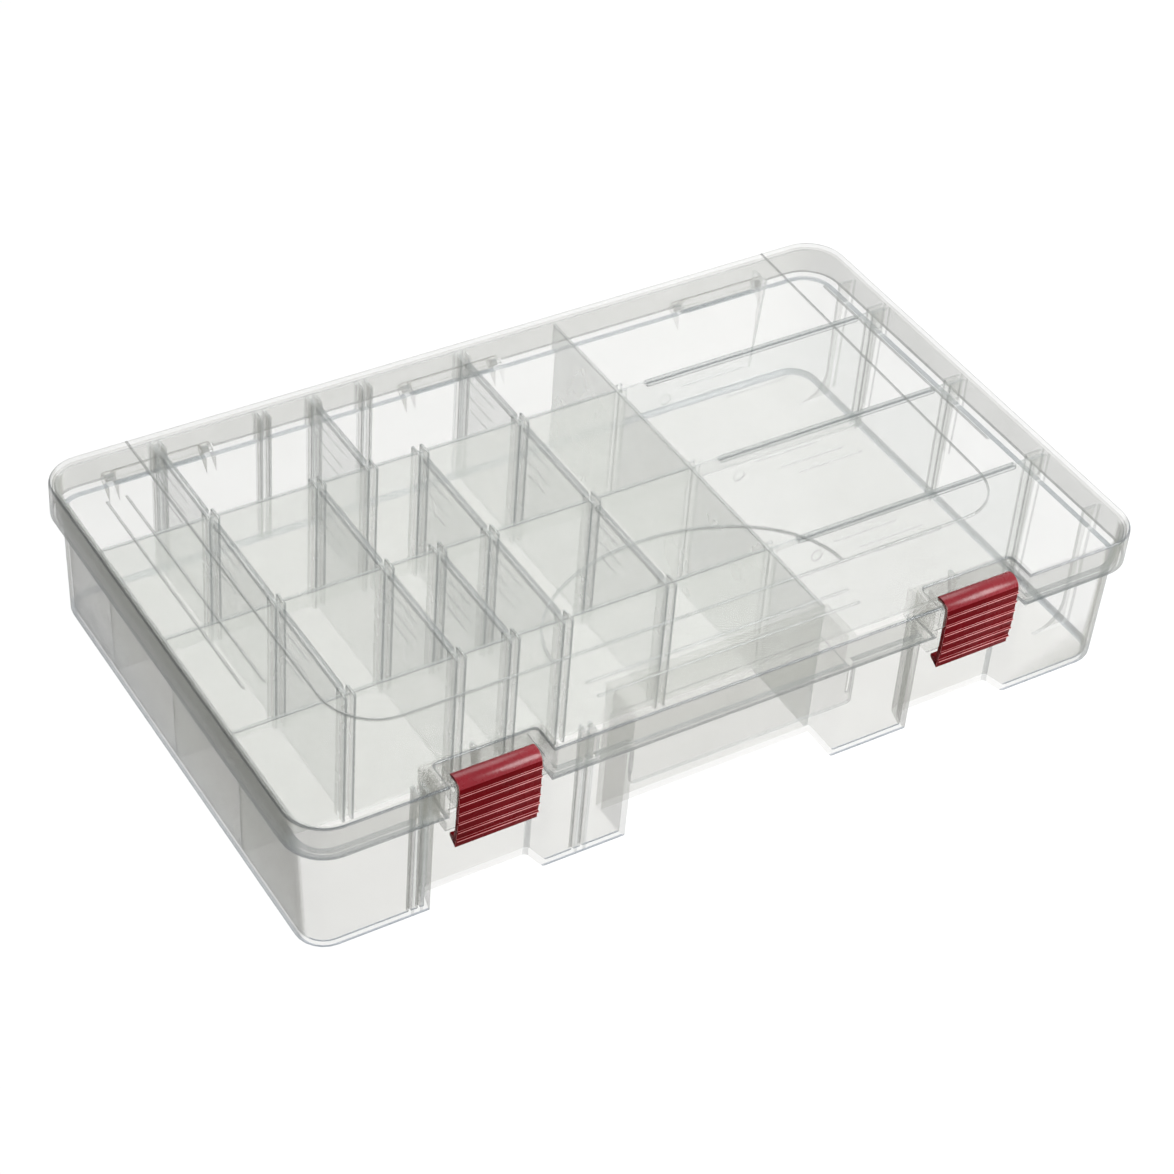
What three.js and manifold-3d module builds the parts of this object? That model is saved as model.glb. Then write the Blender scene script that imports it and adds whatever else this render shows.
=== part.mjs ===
// Clear compartment box: moulded tray, hinged lid, two front latches and lift-out dividers.
// Millimetres, +Z up, the long side along X and the latches facing -Y.
import * as THREE from 'three';
import { mergeVertices } from 'three/addons/utils/BufferGeometryUtils.js';
import Module from 'manifold-3d';

const wasm = await Module();
wasm.setup();

// ---- overall sizes ----
const LENGTH = 356;
const WIDTH = 220;
const HEIGHT = 64;
const LID_CORNER_R = 16;
const LID_TOP = 1.7;
const SKIRT_T = 1.3;
const SKIRT_H = 14.5;
const SKIRT_Z = HEIGHT - SKIRT_H;

// ---- tray ----
const FLOOR_T = 1.6;
const WALL_T = 1.5;
const BODY_INSET = 4.5;
const BODY_TAPER = 0.994;
const RIM_INSET = 2.2;
const RIM_T = 1.3;
const STEP_Z = 49.1;
const STEP_T = 1.6;
const RIM_Z = 62;
const INNER_WALL_T = 1.6;
const INNER_WALL_Z = 61.8;

// ---- front recesses ----
const LATCH_X = 102;
const RECESS_HALF_FRONT = 23.6;
const RECESS_HALF_BACK = 20.8;
const RECESS_Y = -95.3;
const GRIP_HALF = 45.5;
const GRIP_Y = -88.5;
const GRIP_ROOF_Z = 60.4;
const GRIP_PANEL_Z = 30;
const GRIP_PANEL_HALF = 47.5;

// ---- compartments ----
const ROW_Y = [58, 4, -50];
const MAIN_WALL_X = 45.5;
const SLOT_X = [-130.5, -86.5, -64.5, -42.5, 1.5];
const SHORT_ROWS = [
  { row: 1, slots: [0, 2, 4] },
  { row: 2, slots: [0, 1, 3, 4] },
  { row: 3, slots: [0, 1, 2, 3, 4] },
];
const FRONT_SLOT_X = [-130.5, -64.5];
const SLOT_GAP = 2.3;
const SLOT_RIB_T = 1.3;
const SLOT_RIB_OUT = 2.4;
const LONG_RIB_OUT = 4.5;
const DIVIDER_T = 1.3;
const DIVIDER_TOP_Z = 60.8;
const DIVIDER_TOP_T = 2.6;
const GAP = 0.35;

// ---- hinge ----
const HINGE_X = [-128, 0, 128];
const HINGE_Y = 111;
const HINGE_Z = 47.2;
const HINGE_R = 2.9;
const HINGE_HALF = 22.3;
const HINGE_LUG_T = 4;
const HINGE_PIN_R = 1.2;
const HINGE_BORE_R = 1.6;

// ---- latches ----
const LATCH_HALF = 16.3;
const NOTCH_HALF = 20.2;
const NOTCH_Y = -97.5;
const PIVOT_Y = -105;
const PIVOT_Z = 57.6;
const LATCH_PIN_R = 1.5;
const WEB_BORE_R = 1.9;
const WEB_IN = 5;
const WEB_T = 2.5;
const ROLL_Y = -104.6;
const ROLL_Z = 58;
const ROLL_R = 4.6;
const LATCH_T = 1.7;
const RIDGES = 6;
const RIDGE_TOP_Z = 57;
const RIDGE_PITCH = 4.35;
const RIDGE_OUT = 0.6;
const CATCH_HALF = 17.3;

// Steps per millimetre that corners are rounded to, and the finest feature kept, in mm.
const GRID = 512;
const FINEST = 0.004;

// Moves the whole box so that its origin sits under the middle of its bounding box.
const ORIGIN_Y = (-WIDTH / 2 + HINGE_Y + HINGE_R) / 2;

// ---------- plane outlines ----------

// A closed outline from [x, y, corner radius] rows, given counter-clockwise.
function outline(rows, steps = 4) {
  const out = [];
  rows.forEach(([x, y, r], i) => {
    const here = new THREE.Vector2(x, y);
    if (!r) {
      out.push(here);
      return;
    }
    const before = rows[(i + rows.length - 1) % rows.length];
    const after = rows[(i + 1) % rows.length];
    const a = new THREE.Vector2(before[0] - x, before[1] - y).normalize();
    const b = new THREE.Vector2(after[0] - x, after[1] - y).normalize();
    const half = Math.acos(THREE.MathUtils.clamp(a.dot(b), -1, 1)) / 2;
    const reach = r / Math.tan(half);
    const mid = a.clone().add(b).normalize().multiplyScalar(r / Math.sin(half)).add(here);
    const p0 = here.clone().addScaledVector(a, reach).sub(mid);
    const p1 = here.clone().addScaledVector(b, reach).sub(mid);
    const a0 = Math.atan2(p0.y, p0.x);
    let turn = Math.atan2(p1.y, p1.x) - a0;
    if (turn > Math.PI) turn -= 2 * Math.PI;
    if (turn < -Math.PI) turn += 2 * Math.PI;
    for (let k = 0; k <= steps; k += 1) {
      const t = a0 + (turn * k) / steps;
      out.push(new THREE.Vector2(mid.x + r * Math.cos(t), mid.y + r * Math.sin(t)));
    }
  });
  return out;
}

// The cut-backs along the front edge: latch, finger grip, latch.
function frontSteps(front, latch, grip) {
  const rows = [];
  const add = (x, y, r) => rows.push([x, y, r]);
  const latchStep = (cx) => {
    add(cx - latch.front, front, 1.2);
    add(cx - latch.back, latch.y, 1.2);
    add(cx + latch.back, latch.y, 1.2);
    add(cx + latch.front, front, 1.2);
  };
  latchStep(-LATCH_X);
  if (grip) {
    add(-grip.half, front, 1);
    add(-grip.half, grip.y, 1);
    add(grip.half, grip.y, 1);
    add(grip.half, front, 1);
  }
  latchStep(LATCH_X);
  return rows;
}

function boxOutline(inset, latch, grip) {
  const x = LENGTH / 2 - inset;
  const y = WIDTH / 2 - inset;
  const r = LID_CORNER_R - inset;
  const rows = [[-x, -y, r], ...frontSteps(-y, latch, grip), [x, -y, r], [x, y, r], [-x, y, r]];
  return outline(rows);
}

// Tray body outline, stepped in by t from its outer face.
function bodyOutline(t) {
  const latch = { front: RECESS_HALF_FRONT + t, back: RECESS_HALF_BACK + t, y: RECESS_Y + t };
  const grip = { half: GRIP_HALF + t, y: GRIP_Y + t };
  return boxOutline(BODY_INSET + t, latch, grip);
}

// Rim outline: outside it runs straight over the grip; inside, with a wall, it keeps behind it.
function rimOutline(t, wall = 0) {
  const half = RECESS_HALF_FRONT - 0.8 + t;
  const latch = { front: half, back: half, y: RECESS_Y + t };
  const grip = wall ? { half: GRIP_HALF + wall, y: GRIP_Y + wall } : null;
  return boxOutline(RIM_INSET + t, latch, grip);
}

function lidOutline(t) {
  const latch = { front: NOTCH_HALF + t, back: NOTCH_HALF + t, y: NOTCH_Y + t };
  return boxOutline(t, latch, null);
}

// ---------- solids ----------

// Corners are rounded to a fine grid so that faces meant to be level with each other really are.
function toSolid(geometry) {
  const g = geometry.clone();
  g.deleteAttribute('normal');
  g.deleteAttribute('uv');
  const p = g.attributes.position;
  for (let i = 0; i < p.array.length; i += 1) p.array[i] = Math.round(p.array[i] * GRID) / GRID;
  const merged = mergeVertices(g, 1e-4);
  const vertProperties = new Float32Array(merged.attributes.position.array);
  const triVerts = new Uint32Array(merged.index.array);
  return new wasm.Manifold(new wasm.Mesh({ numProp: 3, vertProperties, triVerts }));
}

function toGeometry(solid) {
  const mesh = solid.asOriginal().simplify(FINEST).getMesh();
  const g = new THREE.BufferGeometry();
  g.setAttribute('position', new THREE.BufferAttribute(new Float32Array(mesh.vertProperties), 3));
  g.setIndex(new THREE.BufferAttribute(new Uint32Array(mesh.triVerts), 1));
  const flat = g.toNonIndexed();
  flat.computeVertexNormals();
  return flat;
}

// An upright prism; its lower outline can be drawn in by the taper.
function prism(points, z0, z1, taper = 1) {
  const g = new THREE.ExtrudeGeometry(new THREE.Shape(points), { depth: z1 - z0, bevelEnabled: false });
  const p = g.attributes.position;
  for (let i = 0; i < p.count; i += 1) {
    if (p.getZ(i) < (z1 - z0) / 2) p.setXY(i, p.getX(i) * taper, p.getY(i) * taper);
  }
  g.translate(0, 0, z0);
  return toSolid(g);
}

function block(x0, x1, y0, y1, z0, z1) {
  const g = new THREE.BoxGeometry(x1 - x0, y1 - y0, z1 - z0);
  g.translate((x0 + x1) / 2, (y0 + y1) / 2, (z0 + z1) / 2);
  return toSolid(g);
}

// A side profile in the Y-Z plane pushed along X.
function slab(profile, x0, x1) {
  const g = new THREE.ExtrudeGeometry(new THREE.Shape(profile), { depth: x1 - x0, bevelEnabled: false });
  g.rotateY(Math.PI / 2);
  g.rotateX(Math.PI / 2);
  g.translate(x0, 0, 0);
  return toSolid(g);
}

// A side profile in the X-Z plane pushed along Y.
function slabY(profile, y0, y1) {
  const g = new THREE.ExtrudeGeometry(new THREE.Shape(profile), { depth: y1 - y0, bevelEnabled: false });
  g.rotateX(Math.PI / 2);
  g.translate(0, y1, 0);
  return toSolid(g);
}

function pinAlongX(r, x0, x1, y, z, sides = 16) {
  const g = new THREE.CylinderGeometry(r, r, x1 - x0, sides);
  g.rotateZ(Math.PI / 2);
  g.translate((x0 + x1) / 2, y, z);
  return toSolid(g);
}

function join(list) {
  return list.reduce((all, one) => all.add(one));
}

const v = (a, b) => new THREE.Vector2(a, b);

// ---------- tray and inner walls ----------

// Two upright ribs either side of a divider slot at x.
function slotAtX(x, y0, y1) {
  const near = SLOT_GAP / 2;
  const far = near + SLOT_RIB_T;
  return [
    block(x - far, x - near, y0, y1, FLOOR_T / 2, INNER_WALL_Z),
    block(x + near, x + far, y0, y1, FLOOR_T / 2, INNER_WALL_Z),
  ];
}

// Two upright ribs either side of a divider slot at y.
function slotAtY(y, x0, x1) {
  const near = SLOT_GAP / 2;
  const far = near + SLOT_RIB_T;
  return [
    block(x0, x1, y - far, y - near, FLOOR_T / 2, INNER_WALL_Z),
    block(x0, x1, y + near, y + far, FLOOR_T / 2, INNER_WALL_Z),
  ];
}

// The hollow of the tray, drawn in all round by the clearance.
function trayRoom(clear) {
  const low = prism(bodyOutline(WALL_T + clear), FLOOR_T + clear, STEP_Z + clear + 0.2, BODY_TAPER);
  const high = prism(rimOutline(RIM_T + clear, WALL_T + clear), STEP_Z + clear, RIM_Z + 1);
  return low.add(high);
}

// A wall between two rows of small compartments, with its divider slots on both faces.
function rowWall(y) {
  const half = INNER_WALL_T / 2;
  const out = half + SLOT_RIB_OUT;
  const parts = [block(-LENGTH / 2, MAIN_WALL_X - half - GAP, y - half, y + half, 0, INNER_WALL_Z)];
  for (const x of SLOT_X) parts.push(...slotAtX(x, y - out, y + out));
  return join(parts).intersect(trayRoom(GAP));
}

// The wall from back to front that parts the small compartments from the long ones.
function mainWall() {
  const half = INNER_WALL_T / 2;
  const parts = [block(MAIN_WALL_X - half, MAIN_WALL_X + half, -WIDTH / 2, WIDTH / 2, 0, INNER_WALL_Z)];
  for (const y of ROW_Y) parts.push(...slotAtY(y, MAIN_WALL_X, MAIN_WALL_X + half + SLOT_RIB_OUT));
  return join(parts).intersect(trayRoom(GAP));
}

// Divider slots on the inside of the tray's own back, front and right-hand walls.
function outerSlots() {
  const back = WIDTH / 2 - BODY_INSET - WALL_T - 0.6;
  const right = LENGTH / 2 - BODY_INSET - WALL_T - 0.6;
  const ribs = [];
  for (const x of SLOT_X) ribs.push(...slotAtX(x, back - SLOT_RIB_OUT, WIDTH / 2));
  for (const x of FRONT_SLOT_X) ribs.push(...slotAtX(x, -WIDTH / 2, -back + SLOT_RIB_OUT));
  for (const y of ROW_Y) ribs.push(...slotAtY(y, right - LONG_RIB_OUT, LENGTH / 2));
  return ribs;
}

// Curved gussets in the two right-hand corners, running down the end wall on to the floor.
function cornerGussets() {
  const wall = LENGTH / 2;
  const face = LENGTH / 2 - BODY_INSET - WALL_T - 4;
  const r = 13;
  const profile = [v(wall, FLOOR_T / 2), v(wall, RIM_Z - 2), v(face, RIM_Z - 2)];
  for (let k = 0; k <= 5; k += 1) {
    const t = (k / 5) * (Math.PI / 2);
    profile.push(v(face - r + r * Math.cos(t), FLOOR_T + r - r * Math.sin(t)));
  }
  profile.push(v(face - r, FLOOR_T / 2));
  return [81, -84].map((y) => slabY(profile, y - 0.8, y + 0.8));
}

// Small three-cornered stiffeners behind the latch recesses and on the back wall.
function wallGussets() {
  const y = RECESS_Y + WALL_T - 0.3;
  const list = [];
  for (const x of [-LATCH_X, LATCH_X]) {
    const profile = [v(y, 30), v(y + 6, 48), v(y + 6, 50), v(y, 58)];
    list.push(slab(profile, x - 0.7, x + 0.7));
  }
  const back = WIDTH / 2;
  const face = WIDTH / 2 - BODY_INSET - WALL_T;
  const wedge = [v(back, 6), v(face, 6), v(face - 5.5, 50), v(face - 5.5, 58), v(back, 58)];
  list.push(slab(wedge, 142.3, 143.7));
  return list;
}

function catches() {
  const wall = RECESS_Y + 0.5;
  const profile = [v(wall, 35), v(-102, 36.6), v(-103.4, 38), v(-103.4, 40), v(wall, 40)];
  return [-LATCH_X, LATCH_X].map((x) => slab(profile, x - CATCH_HALF, x + CATCH_HALF));
}

function gripPanel() {
  const y0 = -WIDTH / 2 + RIM_INSET;
  const y1 = -WIDTH / 2 + BODY_INSET + 0.4;
  const face = [
    v(-GRIP_PANEL_HALF, GRIP_PANEL_Z + 2),
    v(-GRIP_PANEL_HALF + 2, GRIP_PANEL_Z),
    v(GRIP_PANEL_HALF - 2, GRIP_PANEL_Z),
    v(GRIP_PANEL_HALF, GRIP_PANEL_Z + 2),
    v(GRIP_PANEL_HALF, STEP_Z),
    v(-GRIP_PANEL_HALF, STEP_Z),
  ];
  return [
    slabY(face, y0, y0 + RIM_T + 0.2),
    block(-GRIP_PANEL_HALF + 0.2, -GRIP_HALF - 0.3, y0 + 0.3, y1, GRIP_PANEL_Z + 4, STEP_Z - 0.5),
    block(GRIP_HALF + 0.3, GRIP_PANEL_HALF - 0.2, y0 + 0.3, y1, GRIP_PANEL_Z + 4, STEP_Z - 0.5),
  ];
}

// Cheeks on the back wall that carry the hinge pins.
function hingeLugs() {
  const list = [];
  for (const cx of HINGE_X) {
    for (const side of [-1, 1]) {
      const x0 = Math.min(cx + side * HINGE_HALF, cx + side * (HINGE_HALF - HINGE_LUG_T));
      const neck = [
        v(WIDTH / 2 - BODY_INSET - 0.6, HINGE_Z - HINGE_R - 5),
        v(HINGE_Y, HINGE_Z - HINGE_R),
        v(HINGE_Y, HINGE_Z + 1.6),
        v(WIDTH / 2 - BODY_INSET - 0.6, HINGE_Z + 1.6),
      ];
      const lug = slab(neck, x0, x0 + HINGE_LUG_T)
        .add(pinAlongX(HINGE_R, x0, x0 + HINGE_LUG_T, HINGE_Y, HINGE_Z, 20))
        .subtract(pinAlongX(HINGE_BORE_R, x0 - 1, x0 + HINGE_LUG_T + 1, HINGE_Y, HINGE_Z));
      list.push(lug);
    }
  }
  return list;
}

function baseTray() {
  const body = prism(bodyOutline(0), 0, STEP_Z, BODY_TAPER);
  const rim = prism(rimOutline(0), STEP_Z - STEP_T, RIM_Z);
  const outer = body.add(rim);
  const side = GRIP_HALF - 0.4;
  const front = -WIDTH / 2 + RIM_INSET + RIM_T + 0.2;
  const pocket = block(-side, side, front, GRIP_Y - 0.4, STEP_Z - STEP_T - 1, GRIP_ROOF_Z);
  const inside = join([...outerSlots(), ...cornerGussets(), ...wallGussets()]);
  const shell = outer.subtract(trayRoom(0)).add(inside.intersect(outer));
  return join([shell.subtract(pocket), ...gripPanel(), ...catches(), ...hingeLugs()]);
}

// ---------- lid ----------

// Clear cheeks either side of a latch, each with the stub pin that the latch turns on.
function latchEars(cx) {
  const back = NOTCH_Y + 0.4;
  const profile = [
    v(-109.4, 62.4), v(-109.4, 54), v(-107.6, 51.4), v(-104, 50.6), v(-100.4, 52),
    v(back, 55), v(back, 62.4),
  ];
  const list = [];
  for (const side of [-1, 1]) {
    const inner = cx + side * (LATCH_HALF + GAP);
    const outer = cx + side * (NOTCH_HALF + 0.3);
    const tip = cx + side * (LATCH_HALF - WEB_IN - WEB_T - 0.5);
    list.push(slab(profile, Math.min(inner, outer), Math.max(inner, outer)));
    list.push(pinAlongX(LATCH_PIN_R, Math.min(tip, outer), Math.max(tip, outer), PIVOT_Y, PIVOT_Z));
  }
  return list;
}

// Barrels behind the lid, with pins at both ends that turn in the tray's cheeks.
function hingeBarrels() {
  const list = [];
  const half = HINGE_HALF - HINGE_LUG_T - GAP;
  for (const cx of HINGE_X) {
    const face = WIDTH / 2 - SKIRT_T;
    const web = [
      v(face, HINGE_Z), v(HINGE_Y, HINGE_Z - 1), v(HINGE_Y, HINGE_Z + 2), v(WIDTH / 2, 51), v(face, 51),
    ];
    const pinHalf = half + HINGE_LUG_T - 0.6;
    list.push(pinAlongX(HINGE_R, cx - half, cx + half, HINGE_Y, HINGE_Z, 20));
    list.push(slab(web, cx - half, cx + half));
    list.push(pinAlongX(HINGE_PIN_R, cx - pinHalf, cx + pinHalf, HINGE_Y, HINGE_Z));
  }
  return list;
}

// Gaps in the back skirt that let the tray's hinge cheeks through.
function skirtGaps() {
  const list = [];
  const half = HINGE_LUG_T / 2 + GAP;
  const top = HINGE_Z + HINGE_R + 0.9;
  for (const cx of HINGE_X) {
    for (const side of [-1, 1]) {
      const mid = cx + side * (HINGE_HALF - HINGE_LUG_T / 2);
      list.push(block(mid - half, mid + half, WIDTH / 2 - 3, WIDTH / 2 + 1, SKIRT_Z - 1, top));
    }
  }
  return list;
}

function lid() {
  const outer = prism(lidOutline(0), SKIRT_Z, HEIGHT);
  const inner = prism(lidOutline(SKIRT_T), SKIRT_Z - 1, HEIGHT - LID_TOP);
  const shell = outer.subtract(inner).subtract(join(skirtGaps()));
  return join([shell, ...latchEars(-LATCH_X), ...latchEars(LATCH_X), ...hingeBarrels()]);
}

// ---------- latches ----------

// How far forward the latch's front face stands at height z; it draws back towards the lip.
function latchFront(z) {
  const low = Math.max(0, (45 - z) / 13);
  return ROLL_Y - ROLL_R + low ** 1.5;
}

// Side profile: a curved sheet rolled over at the top, ridged in front, hooked back at the foot.
function latchProfile() {
  const points = [];
  const turns = 7;
  const angle = (k) => THREE.MathUtils.degToRad(55 + (125 * k) / turns);
  for (let k = 0; k <= turns; k += 1) {
    points.push(v(ROLL_Y + ROLL_R * Math.cos(angle(k)), ROLL_Z + ROLL_R * Math.sin(angle(k))));
  }
  for (let k = 0; k < RIDGES; k += 1) {
    const z = RIDGE_TOP_Z - k * RIDGE_PITCH;
    points.push(v(latchFront(z + 0.5), z + 0.5));
    points.push(v(latchFront(z) - RIDGE_OUT, z));
    points.push(v(latchFront(z - 0.5), z - 0.5));
  }
  points.push(v(-108.2, 31.9), v(-107.5, 31.5), v(-103.9, 34), v(-103.9, 34.8));
  points.push(v(-106.4, 36.4), v(-107.4, 38.5), v(ROLL_Y - ROLL_R + LATCH_T, 42));
  for (let k = turns; k >= 0; k -= 1) {
    const r = ROLL_R - LATCH_T;
    points.push(v(ROLL_Y + r * Math.cos(angle(k)), ROLL_Z + r * Math.sin(angle(k))));
  }
  return points;
}

// The inner webs are bored for the stub pins of the lid.
function latch(cx) {
  let solid = slab(latchProfile(), cx - LATCH_HALF, cx + LATCH_HALF);
  const foot = [v(-108.2, 53.5), v(PIVOT_Y, 54.6), v(PIVOT_Y, PIVOT_Z), v(-108.2, PIVOT_Z)];
  for (const side of [-1, 1]) {
    const a = cx + side * (LATCH_HALF - WEB_IN);
    const b = cx + side * (LATCH_HALF - WEB_IN - WEB_T);
    const x0 = Math.min(a, b);
    const x1 = Math.max(a, b);
    const web = pinAlongX(WEB_BORE_R + 1.1, x0, x1, PIVOT_Y, PIVOT_Z, 20).add(slab(foot, x0, x1));
    const bore = pinAlongX(WEB_BORE_R, x0 - 1, x1 + 1, PIVOT_Y, PIVOT_Z);
    solid = solid.add(web).subtract(bore);
  }
  return solid;
}

// ---------- dividers ----------

// A short divider standing between two cross walls; the back row's top end follows the rim step.
function shortDivider(x, row) {
  const y0 = ROW_Y[row - 1] + INNER_WALL_T / 2 + GAP;
  const rowEnd = row === 1 ? WIDTH / 2 - BODY_INSET - WALL_T - 0.7 : ROW_Y[row - 2] - INNER_WALL_T / 2;
  const y1 = rowEnd - GAP;
  const top = row === 1 ? WIDTH / 2 - RIM_INSET - RIM_T - GAP : y1;
  const z0 = FLOOR_T + GAP;
  const z1 = DIVIDER_TOP_Z;
  const profile = [
    v(y0, z0), v(y1, z0), v(y1, STEP_Z + 0.6), v(top, STEP_Z + 2.4), v(top, z1), v(y0, z1),
  ];
  const sheet = slab(profile, x - DIVIDER_T / 2, x + DIVIDER_T / 2);
  const near = SLOT_RIB_OUT + 0.6;
  const half = DIVIDER_TOP_T / 2;
  return sheet.add(block(x - half, x + half, y0 + near, y1 - near, z1 - 1.6, z1));
}

// A long divider crossing the wide right-hand section.
function longDivider(y) {
  const x0 = MAIN_WALL_X + INNER_WALL_T / 2 + GAP;
  const x1 = LENGTH / 2 - BODY_INSET - WALL_T - 1.1 - GAP;
  const top = LENGTH / 2 - RIM_INSET - RIM_T - GAP;
  const z0 = FLOOR_T + GAP;
  const z1 = DIVIDER_TOP_Z;
  const profile = [
    v(x0, z0), v(x1, z0), v(x1, STEP_Z + 0.6), v(top, STEP_Z + 2.4), v(top, z1), v(x0, z1),
  ];
  const sheet = slabY(profile, y - DIVIDER_T / 2, y + DIVIDER_T / 2);
  const half = DIVIDER_TOP_T / 2;
  return sheet.add(block(x0 + 12, x1 - 10, y - half, y + half, z1 - 1.8, z1));
}

// ---------- assembly ----------

const CLEAR = { color: 0xdfe4df, roughness: 0.25, metalness: 0 };
const CLEAR_LID = { color: 0xe4e8e4, roughness: 0.2, metalness: 0 };
const CLEAR_DIVIDER = { color: 0xdde3dd, roughness: 0.3, metalness: 0 };
const RED = { color: 0x7c0a18, roughness: 0.3, metalness: 0 };

const box = new THREE.Group();
box.name = 'tackle_box';

function place(name, solid, look) {
  const geometry = toGeometry(solid);
  geometry.translate(0, -ORIGIN_Y, 0);
  const mesh = new THREE.Mesh(geometry, new THREE.MeshStandardMaterial(look));
  mesh.name = name;
  box.add(mesh);
}

place('base_tray', baseTray(), CLEAR);
ROW_Y.forEach((y, i) => place(`row_wall_${i + 1}`, rowWall(y), CLEAR));
place('main_wall', mainWall(), CLEAR);
place('lid', lid(), CLEAR_LID);
place('latch_left', latch(-LATCH_X), RED);
place('latch_right', latch(LATCH_X), RED);
for (const { row, slots } of SHORT_ROWS) {
  slots.forEach((slot, i) => {
    place(`divider_row${row}_${i + 1}`, shortDivider(SLOT_X[slot], row), CLEAR_DIVIDER);
  });
}
ROW_Y.forEach((y, i) => place(`long_divider_${i + 1}`, longDivider(y), CLEAR_DIVIDER));

export default box;
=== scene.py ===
import math

import bmesh
import bpy
from mathutils import Matrix, Vector


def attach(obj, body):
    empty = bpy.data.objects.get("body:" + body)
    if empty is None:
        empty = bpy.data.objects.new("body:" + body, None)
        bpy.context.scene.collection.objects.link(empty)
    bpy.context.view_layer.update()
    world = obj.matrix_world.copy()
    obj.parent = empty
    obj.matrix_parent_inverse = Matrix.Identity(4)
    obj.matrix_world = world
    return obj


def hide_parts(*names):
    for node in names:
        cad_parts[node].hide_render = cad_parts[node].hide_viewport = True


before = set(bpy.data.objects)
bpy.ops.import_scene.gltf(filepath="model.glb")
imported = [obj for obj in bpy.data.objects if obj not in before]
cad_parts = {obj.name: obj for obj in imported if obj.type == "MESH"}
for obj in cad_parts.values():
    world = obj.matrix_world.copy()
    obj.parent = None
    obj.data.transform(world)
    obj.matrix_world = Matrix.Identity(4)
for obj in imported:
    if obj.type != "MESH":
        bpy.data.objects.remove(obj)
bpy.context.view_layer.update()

# All sizes below are in millimetres, with Y measured from the middle of the lid.
MM = 0.001
Y_SHIFT = 1.95

# ---- lid ----
LID_X, LID_Y, LID_TOP_Z = 178, 110, 64
LID_CORNER_R = 16
LID_EDGE_R = 1.3
SKIRT_Z = 49.5
SKIRT_T = 1.3
LID_T = 1.7
NOTCH_HALF = 20.2
NOTCH_Y = -97.5
RIDGE_W = 0.8
RIDGE_H = 0.9
RIDGE_DIP = 0.3
FRAME_LEFT, FRAME_RIGHT, FRAME_FRONT = -141.8, 142.1, -72.3
OVAL_X, OVAL_Y, OVAL_LONG, OVAL_SHORT = 2, -71.8, 62, 43
SIDE_RIDGES = ((-163, -35, 79), (-155.1, -35, 79), (156.8, -36, 78))
FRONT_RIDGE_X = (-55, 56.4)
FRONT_RIDGE_Y = (-86.5, -94.2)

# ---- tray ----
BODY_X, BODY_Y = 173.5, 105.5
BODY_TAPER = 0.994
BODY_CORNER_R = 11.5
WALL_T = 1.5
FLOOR_T = 1.6
FOOT_R = 2.2
STEP_Z = 49.1
RIM_X, RIM_Y = 175.8, 107.8
RIM_BOTTOM_Z, RIM_Z = 47.5, 62
RIM_T = 1.3
RECESS_Y = -95.3
RECESS_FRONT, RECESS_BACK = 23.6, 20.8
RIM_NOTCH_HALF = RECESS_FRONT - 0.8
GRIP_HALF = 45.5
GRIP_Y = -88.5

# ---- compartments ----
INNER_T = 1.6
INNER_Z = 61.2
RIB_Z = 62.1
MAIN_WALL_X = 45.5
ROW_Y = (58, 4, -50)
SLOT_X = (-130.5, -86.5, -64.5, -42.5, 1.5)
FRONT_SLOT_X = (-130.5, -64.5)
SHORT_ROWS = {1: (0, 2, 4), 2: (0, 1, 3, 4), 3: (0, 1, 2, 3, 4)}
SLOT_GAP = 2.3
RIB_T = 1.3
RIB_OUT = 2.4
LONG_RIB_OUT = 4.5
DIVIDER_T = 1.3
DIVIDER_Z = 60.8
DIVIDER_TOP_T = 2.6
PLAY = 0.35

# ---- hinge and latches ----
HINGE_X = (-128, 0, 128)
HINGE_Y, HINGE_Z, HINGE_R = 111, 47.2, 2.9
HINGE_HALF, LUG_T = 22.3, 4
LATCH_X = 102
LATCH_HALF = 16.3
PIVOT_Y, PIVOT_Z = -105, 57.6
ROLL_Y, ROLL_Z, ROLL_R = -104.6, 58, 4.6
LATCH_T = 1.7
LATCH_FOOT = ((0.15, -3.5), (0.35, -3.5), (0.5, -3.5), (0.35, -1.6))
LATCH_RIDGE_Z = [57 - 4.35 * k for k in range(6)]

# ---- camera ----
CAMERA_AIM = Vector((-0.0011, -0.0035, 0.0227))
CAMERA_AZIMUTH = math.radians(-34.0)
CAMERA_ELEVATION = math.radians(40.45)
CAMERA_ROLL = math.radians(4.82)
CAMERA_DISTANCE = 1.1838
CAMERA_LENS = 94.8


# ---------- hand tools ----------

def at(x, y, z):
    return Vector((x * MM, (y - Y_SHIFT) * MM, z * MM))


def take(*pieces):
    """Leaves only these pieces selected, the first of them active."""
    if bpy.context.object and bpy.context.object.mode != "OBJECT":
        bpy.ops.object.mode_set(mode="OBJECT")
    bpy.ops.object.select_all(action="DESELECT")
    for piece in pieces:
        piece.select_set(True)
    if pieces:
        bpy.context.view_layer.objects.active = pieces[0]


def settle(piece):
    """Puts the piece's place, turn and size into its mesh."""
    take(piece)
    bpy.ops.object.transform_apply(location=True, rotation=True, scale=True)
    return piece


def block(name, x0, x1, y0, y1, z0, z1):
    take()
    bpy.ops.mesh.primitive_cube_add(size=1, location=at((x0 + x1) / 2, (y0 + y1) / 2, (z0 + z1) / 2))
    piece = bpy.context.object
    piece.name = name
    piece.scale = ((x1 - x0) * MM, (y1 - y0) * MM, (z1 - z0) * MM)
    return settle(piece)


def rod(name, r, x0, x1, y, z, sides=24):
    take()
    bpy.ops.mesh.primitive_cylinder_add(
        vertices=sides, radius=r * MM, depth=(x1 - x0) * MM,
        location=at((x0 + x1) / 2, y, z), rotation=(0, math.pi / 2, 0))
    piece = bpy.context.object
    piece.name = name
    return settle(piece)


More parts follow.
